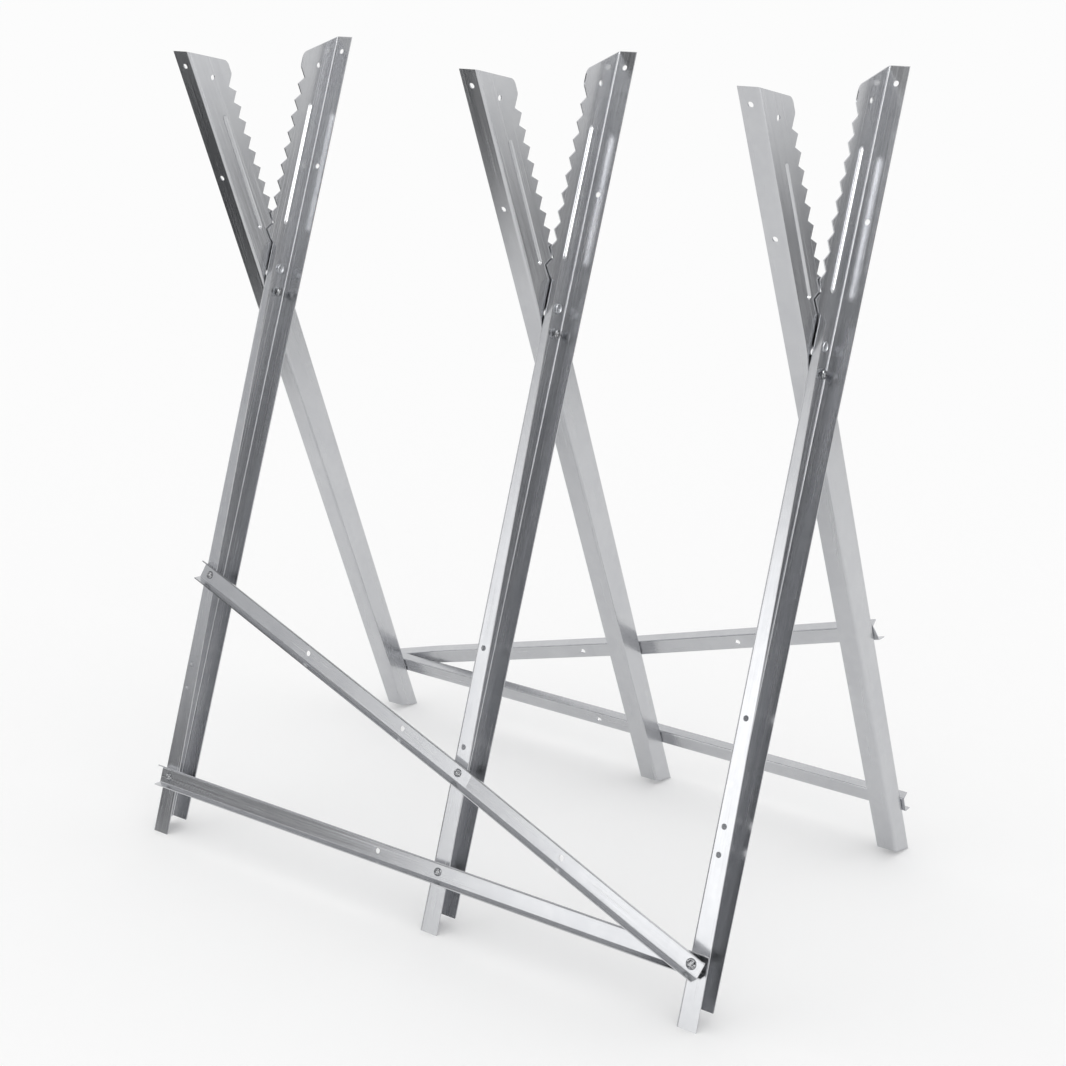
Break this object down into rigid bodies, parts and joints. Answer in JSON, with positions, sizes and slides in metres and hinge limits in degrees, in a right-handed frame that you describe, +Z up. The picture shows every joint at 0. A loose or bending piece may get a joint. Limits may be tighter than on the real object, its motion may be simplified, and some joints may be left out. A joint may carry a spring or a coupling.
{
  "type": "log saw stand",
  "caption": "Folding stand of crossed, toothed legs in bent galvanised sheet that holds logs for sawing, tied by flared channel rails and hinged on bolts at the crossings.",
  "frame": {"origin": "on the ground, under the middle of the stand: midway between the outer frames and midway between the front and rear toes", "axes": "+X along the row of frames to the end that the picture shows nearest, +Y from the front to the rear side, +Z up"},
  "size_m": [0.8548, 0.532, 0.9748],
  "materials": {
    "leg_sheet": "bare galvanised sheet, satin, with lengthwise rolling grain",
    "rail_sheet": "bare galvanised sheet, satin",
    "bolts_and_nuts": "zinc plated, slightly dull",
    "washers_and_rivets": "zinc plated, bright"
  },
  "bodies": {
    "front_half": {"front_leg_left": "leg_sheet", "front_leg_middle": "leg_sheet", "front_leg_right": "leg_sheet", "front_low_rail": "rail_sheet", "front_brace": "rail_sheet", "front_rail_bolts": "bolts_and_nuts", "front_rail_nuts": "bolts_and_nuts", "front_corner_bolt": "bolts_and_nuts", "front_corner_nut": "bolts_and_nuts", "pivot_bolts": "bolts_and_nuts", "pivot_nuts": "bolts_and_nuts", "pivot_washers": "washers_and_rivets", "pivot_spacers": "washers_and_rivets", "stop_rivets": "washers_and_rivets"},
    "rear_half": {"rear_leg_left": "leg_sheet", "rear_leg_middle": "leg_sheet", "rear_leg_right": "leg_sheet", "rear_low_rail": "rail_sheet", "rear_brace": "rail_sheet", "rear_rail_bolts": "bolts_and_nuts", "rear_rail_nuts": "bolts_and_nuts", "rear_corner_bolt": "bolts_and_nuts", "rear_corner_nut": "bolts_and_nuts"}
  },
  "joints": [
    {"name": "fold", "type": "hinge", "parent": "front_half", "child": "rear_half", "pos_m": [0, 0, 0.65894], "axis": [-1, 0, 0], "range_deg": [0, 41.2]}
  ]
}
